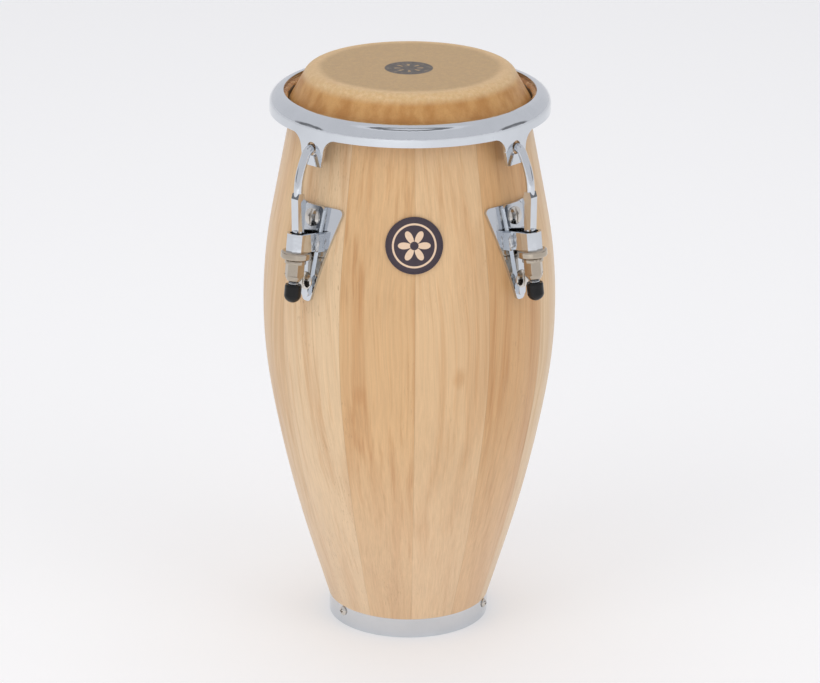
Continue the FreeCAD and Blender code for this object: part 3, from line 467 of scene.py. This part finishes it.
def threaded(name, colour):
    """Chrome with a rolled thread on the part of the rod below the flat shank."""
    s = Shader(name)
    place = s.place()
    x, y, z = s.split(place)
    out = s.math("SUBTRACT", s.length(x, y), ROD_RADIUS_AT)
    up = s.math("SUBTRACT", z, ROD_HEIGHT_AT)
    along = s.math("SUBTRACT", s.math("MULTIPLY", up, math.cos(ROD_TILT)),
                   s.math("MULTIPLY", out, math.sin(ROD_TILT)))
    wave = s.math("SINE", s.math("MULTIPLY", along, 2 * math.pi / THREAD_PITCH))
    cut = s.math("MULTIPLY", wave, s.smooth(along, THREAD_TOP - THREAD_FADE, THREAD_TOP, 1.0, 0.0))
    peel = s.noise(s.stretch(place, (260, 260, 260)), detail=2.0)
    smudge = s.noise(s.stretch(place, (75, 75, 75)), detail=3.0)
    s.set(Base_Color=s.shade(colour, s.smooth(smudge, 0.2, 0.8, 1.0, 0.93)), Metallic=1.0,
          Roughness=s.smooth(smudge, 0.35, 0.75, 0.05, 0.12),
          Normal=s.bump(cut, 0.12 * MM, 1.0, s.bump(peel, 0.06 * MM, 0.35)))
    return s.material


CHROME_TINT = srgb(215, 219, 224)
CHROME = plated("chrome", CHROME_TINT, 0.045)
HOOK_CHROME = threaded("hook_chrome", CHROME_TINT)
WELD = plated("weld_bead", srgb(206, 207, 208), 0.16, 0.9, 0.15)
RAWHIDE = rawhide()
BADGE = badge()
SCREW_STEEL = plated("screw_plating", srgb(214, 209, 202), 0.07, 0.6, 0.08)
NICKEL = plated("nickel", srgb(186, 175, 160), 0.08, 0.8, 0.10)
HOOP_STEEL = plated("hoop_steel", srgb(150, 150, 150), 0.35, 0.5, 0.15)
ZINC = plated("zinc", srgb(160, 162, 166), 0.30, 0.7, 0.20)
RUBBER = rubber()


def dress(node, material, edge=0.0):
    """Give a CAD node its material, with its hard edges eased by a small bevel."""
    piece = frame["nodes"][node]
    piece.data.materials.clear()
    piece.data.materials.append(material)
    if edge:
        weld = piece.modifiers.new("weld", "WELD")
        weld.merge_threshold = 1e-6
        bevel = piece.modifiers.new("ease", "BEVEL")
        bevel.width = edge
        bevel.segments = 3
        bevel.limit_method = "ANGLE"
        bevel.angle_limit = math.radians(35)
        bevel.use_clamp_overlap = True
        normals = piece.modifiers.new("normals", "WEIGHTED_NORMAL")
        normals.keep_sharp = True


for number in range(1, STAVES + 1):
    dress(f"stave_{number:02d}", wood(number))
dress("foot_ring", CHROME, 0.25 * MM)
dress("foot_ring_screws", SCREW_STEEL, 0.12 * MM)
dress("flesh_hoop", HOOP_STEEL)
dress("rim", CHROME, 0.35 * MM)
dress("front_badge", BADGE, 0.12 * MM)
for name in ("side_plate_washers", "side_plate_nuts"):
    dress(name, ZINC, 0.15 * MM)
dress("side_plate_screws", SCREW_STEEL, 0.25 * MM)
for number in LUGS:
    dress(f"side_plate_{number}", CHROME, 0.3 * MM)
    dress(f"rod_strap_{number}", CHROME, 0.3 * MM)
    dress(f"tension_hook_{number}", HOOK_CHROME, 0.25 * MM)
    dress(f"lug_washer_{number}", NICKEL)
    dress(f"tuning_nut_{number}", NICKEL, 0.25 * MM)
    dress(f"rod_cap_{number}", RUBBER)


# ---- pieces made here -----------------------------------------------------------------------

def add_piece(name, points, faces, material):
    """A new smooth-shaded piece whose hard edges stay hard."""
    mesh = bpy.data.meshes.new(name)
    mesh.from_pydata(points, [], faces)
    mesh.materials.append(material)
    mesh.shade_smooth()
    mesh.set_sharp_from_angle(angle=math.radians(SHARP_ANGLE))
    piece = bpy.data.objects.new(name, mesh)
    bpy.context.collection.objects.link(piece)
    return piece


def arc(radius, height, reach, first, last, steps):
    """Points round a circle in the upright plane, with angles in degrees from outward."""
    turns = [math.radians(first + (last - first) * step / steps) for step in range(steps + 1)]
    return [(radius + reach * math.cos(turn), height + reach * math.sin(turn)) for turn in turns]


def pucker(azimuth):
    """How deeply the tucked hide is folded at an azimuth, 0 to 1."""
    wave = sum(math.sin(count * azimuth + phase) for count, phase in PUCKER_WAVES)
    return 0.5 + wave / (2 * len(PUCKER_WAVES))


def collar_line():
    """The collar's outer face: where it starts, where it touches the hoop, and the hoop's radius."""
    lean = math.radians(COLLAR_LEAN)
    out, up = math.cos(lean), math.sin(lean)
    start = (HEAD_FLAT + HEAD_ROUND * out, HEAD_HEIGHT - HEAD_ROUND * (1.0 - up))
    hoop = (out * start[0] + up * start[1] + HOOP_WIRE - up * HOOP_HEIGHT) / out
    return start, (hoop - HOOP_WIRE * out, HOOP_HEIGHT - HOOP_WIRE * up), hoop


def collar_stretch(first, last, steps, depth):
    """Points down the collar between two shares of its length, at a depth under its outer face."""
    lean = math.radians(COLLAR_LEAN)
    start, touch, _ = collar_line()
    points = []
    for step in range(steps + 1):
        share = first + (last - first) * step / steps
        points.append((start[0] + (touch[0] - start[0]) * share - depth * math.cos(lean),
                       start[1] + (touch[1] - start[1]) * share - depth * math.sin(lean)))
    return points


def crown_section(_azimuth):
    """Playing surface, rounded edge and the collar as far as the wood's outer corner."""
    low = HEAD_HEIGHT - HEAD_ROUND
    top = [(HEAD_FLAT * step / 14, HEAD_HEIGHT) for step in range(15)]
    edge = arc(HEAD_FLAT, low, HEAD_ROUND, 90.0, COLLAR_LEAN, 10)[1:]
    under = arc(HEAD_FLAT, low, HEAD_ROUND - HIDE, COLLAR_LEAN, 90.0, 8)
    return (top + edge + collar_stretch(0.0, WOOD_CORNER, 6, 0.0)[1:]
            + collar_stretch(WOOD_CORNER, 0.0, 6, HIDE)[:-1] + under + [(0.0, HEAD_HEIGHT - HIDE)])


def collar_section(_azimuth):
    """The free stretch of hide from the wood's outer corner to the hoop."""
    return collar_stretch(WOOD_CORNER, 1.0, 12, 0.0) + collar_stretch(1.0, WOOD_CORNER, 12, HIDE)


def tuck_section(azimuth):
    """The hide's tucked end, gathered in folds round the hoop."""
    _, _, hoop = collar_line()
    first = 180.0 + COLLAR_LEAN
    last = TUCK_END - PUCKER_REACH * pucker(azimuth)
    section = arc(hoop, HOOP_HEIGHT, HOOP_WIRE, first, last, 30)
    for step, (radius, height) in enumerate(arc(hoop, HOOP_HEIGHT, HOOP_WIRE + HIDE, last, first, 30)):
        fold = FOLD_DEPTH * pucker(azimuth) * max(0.0, 1.0 - step / 20)
        share = 1.0 - fold / (HOOP_WIRE + HIDE)
        section.append((hoop + (radius - hoop) * share, HOOP_HEIGHT + (height - HOOP_HEIGHT) * share))
    return section


def swept(name, section, material, poles=False):
    """A section carried round the axis. With poles, its first and last points lie on the axis."""
    points, faces = [], []
    for segment in range(HEAD_SEGMENTS):
        turn = 2 * math.pi * segment / HEAD_SEGMENTS
        outline = section(turn)
        if poles:
            ends = outline[0], outline[-1]
            outline = outline[1:-1]
        points += [(radius * math.sin(turn), -radius * math.cos(turn), height) for radius, height in outline]
    count = len(points) // HEAD_SEGMENTS
    if poles:
        points += [(0.0, 0.0, height) for _, height in ends]
    for segment in range(HEAD_SEGMENTS):
        here = segment * count
        there = (segment + 1) % HEAD_SEGMENTS * count
        if poles:
            faces.append((len(points) - 2, here, there))
            faces.append((len(points) - 1, there + count - 1, here + count - 1))
        for i in range(count - 1 if poles else count):
            after = (i + 1) % count
            faces.append((here + i, here + after, there + after, there + i))
    return add_piece(name, points, faces, material)


def head():
    """The rawhide head. Its crown stays on the wood, its tuck follows the rim, the collar between is on no
    body.
    """
    crown = swept("rawhide_crown", crown_section, RAWHIDE, poles=True)
    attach(crown, "shell")
    collar = swept("rawhide_collar", collar_section, RAWHIDE)
    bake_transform(collar)
    tuck = swept("rawhide_tuck", tuck_section, RAWHIDE)
    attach(tuck, "rim")
    for piece in (crown, collar, tuck):
        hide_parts("head_skin")


def strap_welds(number):
    """Lumpy weld beads down both sides of a rod strap, where it meets the side plate."""
    joint = JOINTS[f"nut_{number}_turn"]
    at = Vector(joint["pos_m"])
    up = Vector(joint["axis"]).normalized()
    side = Vector((-at.y, at.x, 0.0)).normalized()
    out = side.cross(up)
    build = bmesh.new()
    for hand in (-1, 1):
        centre = at + out * -WELD_INWARD + side * (hand * WELD_ASIDE) + up * WELD_ABOVE
        made = bmesh.ops.create_icosphere(build, subdivisions=4, radius=1.0)
        for vertex in made["verts"]:
            local = vertex.co.copy()
            wide_lump = 0.13 * math.sin(7.0 * local.z + hand)
            small_lump = 0.08 * math.sin(11.0 * local.x + 5.0 * local.z)
            offset = (out * (local.x * WELD_THICK) + side * (local.y * WELD_WIDE)
                      + up * (local.z * WELD_TALL))
            vertex.co = centre + offset * (1.0 + wide_lump + small_lump)
    mesh = bpy.data.meshes.new(f"strap_welds_{number}")
    build.to_mesh(mesh)
    build.free()
    mesh.materials.append(WELD)
    mesh.shade_smooth()
    piece = bpy.data.objects.new(f"strap_welds_{number}", mesh)
    bpy.context.collection.objects.link(piece)
    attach(piece, "shell")


head()
for number in LUGS:
    strap_welds(number)


# ---- stage, light and camera ----------------------------------------------------------------

def floor():
    """A wide pale floor, which fills the picture from any side."""
    rim = [(FLOOR_RADIUS * math.cos(turn), FLOOR_RADIUS * math.sin(turn), 0.0)
           for turn in (2 * math.pi * step / FLOOR_SIDES for step in range(FLOOR_SIDES))]
    mesh = bpy.data.meshes.new("floor")
    mesh.from_pydata(rim, [], [tuple(range(FLOOR_SIDES))])
    sheet = bpy.data.objects.new("floor", mesh)
    bpy.context.collection.objects.link(sheet)
    s = Shader("floor_paper")
    fibre = s.noise(s.stretch(s.place(), (900, 900, 900)), detail=2.0)
    s.set(Base_Color=(FLOOR_GREY, FLOOR_GREY, FLOOR_GREY, 1.0), Roughness=0.85,
          Normal=s.bump(fibre, 0.05 * MM, 0.1), Emission_Color=(1.0, 1.0, 1.0, 1.0),
          Emission_Strength=FLOOR_GLOW)
    mesh.materials.append(s.material)


def softbox(name, azimuth, height, distance, width, tall, power, aim_height):
    """A rectangular light aimed at the drum's axis, which the plating doesn't mirror."""
    lamp = bpy.data.lights.new(name, "AREA")
    lamp.shape = "RECTANGLE"
    lamp.size = width
    lamp.size_y = tall
    lamp.energy = power
    light = bpy.data.objects.new(name, lamp)
    light.visible_glossy = False
    bpy.context.collection.objects.link(light)
    turn = math.radians(azimuth + CAMERA_AZIMUTH)
    light.location = (distance * math.sin(turn), -distance * math.cos(turn), height)
    aim = Vector((0, 0, aim_height)) - light.location
    light.rotation_euler = aim.to_track_quat("-Z", "Y").to_euler()


def surroundings():
    """Even light tent, with one dark gap high up and one on each side for the plating to show."""
    world = bpy.data.worlds.new("studio")
    bpy.context.scene.world = world
    world.use_nodes = True
    tree = world.node_tree
    background = tree.nodes["Background"]
    coordinate = tree.nodes.new("ShaderNodeTexCoord")
    split = tree.nodes.new("ShaderNodeSeparateXYZ")
    tree.links.new(coordinate.outputs["Generated"], split.inputs[0])
    high = band(tree, split.outputs["Z"], HIGH_TENT)
    side = tree.nodes.new("ShaderNodeMath")
    side.operation = "ABSOLUTE"
    tree.links.new(split.outputs["X"], side.inputs[0])
    flanks = band(tree, side.outputs[0], SIDE_TENT)
    both = tree.nodes.new("ShaderNodeMix")
    both.data_type = "RGBA"
    both.blend_type = "MULTIPLY"
    both.inputs["Factor"].default_value = 1.0
    tree.links.new(high, both.inputs[6])
    tree.links.new(flanks, both.inputs[7])
    tree.links.new(both.outputs[2], background.inputs["Color"])
    background.inputs["Strength"].default_value = WORLD_STRENGTH


def band(tree, socket, stops):
    """A grey ramp along a direction's component."""
    ramp = tree.nodes.new("ShaderNodeValToRGB")
    tree.links.new(socket, ramp.inputs["Fac"])
    steps = ramp.color_ramp.elements
    while len(steps) < len(stops):
        steps.new(0.5)
    for step, (position, grey) in zip(steps, stops):
        step.position = position
        step.color = (grey, grey, grey * TENT_BLUE, 1.0)
    return ramp.outputs["Color"]


def camera():
    """The camera, at the angle fitted to the drum's ellipses."""
    turn = Matrix.Rotation(math.radians(CAMERA_AZIMUTH), 3, "Z")
    pitch = math.radians(CAMERA_PITCH)
    forward = turn @ Vector((0.0, math.cos(pitch), -math.sin(pitch)))
    right = turn @ Vector((1.0, 0.0, 0.0))
    up = right.cross(forward)
    roll = math.radians(CAMERA_ROLL)
    across = right * math.cos(roll) + up * math.sin(roll)
    above = up * math.cos(roll) - right * math.sin(roll)
    lens = bpy.data.cameras.new("camera")
    lens.lens = CAMERA_LENS
    lens.sensor_width = 36.0
    lens.sensor_fit = "HORIZONTAL"
    lens.clip_start = 0.05
    eye = bpy.data.objects.new("camera", lens)
    bpy.context.collection.objects.link(eye)
    pose = Matrix((across, above, -forward)).transposed().to_4x4()
    pose.translation = turn @ CAMERA_TARGET - forward * CAMERA_DISTANCE
    eye.matrix_world = pose
    bpy.context.scene.camera = eye


floor()
surroundings()
for name, settings in LIGHTS.items():
    softbox(name, *settings)
camera()
bpy.context.scene.view_settings.view_transform = "Standard"
